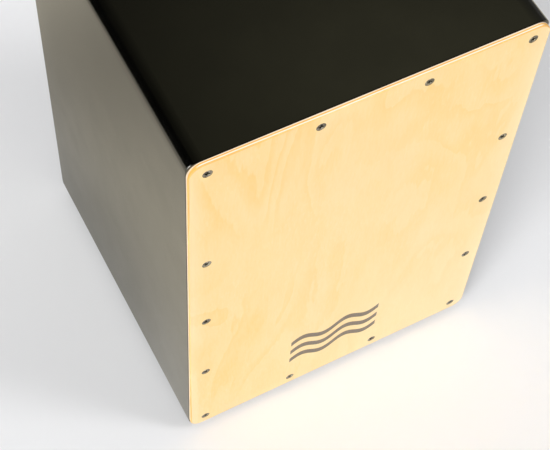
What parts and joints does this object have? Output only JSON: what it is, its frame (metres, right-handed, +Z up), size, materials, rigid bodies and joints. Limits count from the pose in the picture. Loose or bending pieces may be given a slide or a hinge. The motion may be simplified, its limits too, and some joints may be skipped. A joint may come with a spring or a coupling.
{
  "type": "cajon",
  "caption": "Black-lacquered box drum with a thin screwed plywood playing plate, rear sound hole, rubber feet and an internal snare bar that turns the wires on and off the plate.",
  "frame": {"origin": "on the floor, below the centre of the whole object", "axes": "+Z up through the seat, the playing plate faces -Y, +X to the right of a viewer who faces the plate"},
  "size_m": [0.3, 0.3, 0.457],
  "materials": {
    "black_lacquer": "satin black lacquer over fibreboard",
    "birch_veneer": "clear satin lacquer over pale three-ply birch",
    "softwood": "planed, unfinished",
    "beech": "sanded, unfinished",
    "dark_steel": "dark nickel plated",
    "zinc_steel": "bright zinc plated",
    "snare_strip": "thin rolled brass",
    "snare_wire": "bright coiled spring steel",
    "foot_rubber": "matt moulded rubber"
  },
  "bodies": {
    "box": {"seat_panel": "black_lacquer", "bottom_panel": "black_lacquer", "left_side_panel": "black_lacquer", "right_side_panel": "black_lacquer", "back_panel": "black_lacquer", "front_plate": "birch_veneer", "front_top_batten": "softwood", "front_bottom_batten": "softwood", "front_left_batten": "softwood", "front_right_batten": "softwood", "rear_top_batten": "softwood", "rear_bottom_batten": "softwood", "rear_left_batten": "softwood", "rear_right_batten": "softwood", "plate_screws": "dark_steel", "foot_front_left": "foot_rubber", "foot_rear_left": "foot_rubber", "foot_front_right": "foot_rubber", "foot_rear_right": "foot_rubber", "foot_washers": "zinc_steel", "foot_screws": "zinc_steel", "left_cheek_block": "beech", "right_cheek_block": "beech", "cheek_screws": "zinc_steel"},
    "snare": {"snare_bar": "beech", "pivot_pins": "zinc_steel", "friction_washers": "zinc_steel", "strip_screws": "zinc_steel", "left_snare_strip": "snare_strip", "right_snare_strip": "snare_strip", "left_snare_wires": "snare_wire", "right_snare_wires": "snare_wire"}
  },
  "joints": [
    {"name": "snare_turn", "type": "hinge", "parent": "box", "child": "snare", "pos_m": [0, -0.101, 0.313], "axis": [1, 0, 0], "range_deg": [-25, 0]}
  ]
}
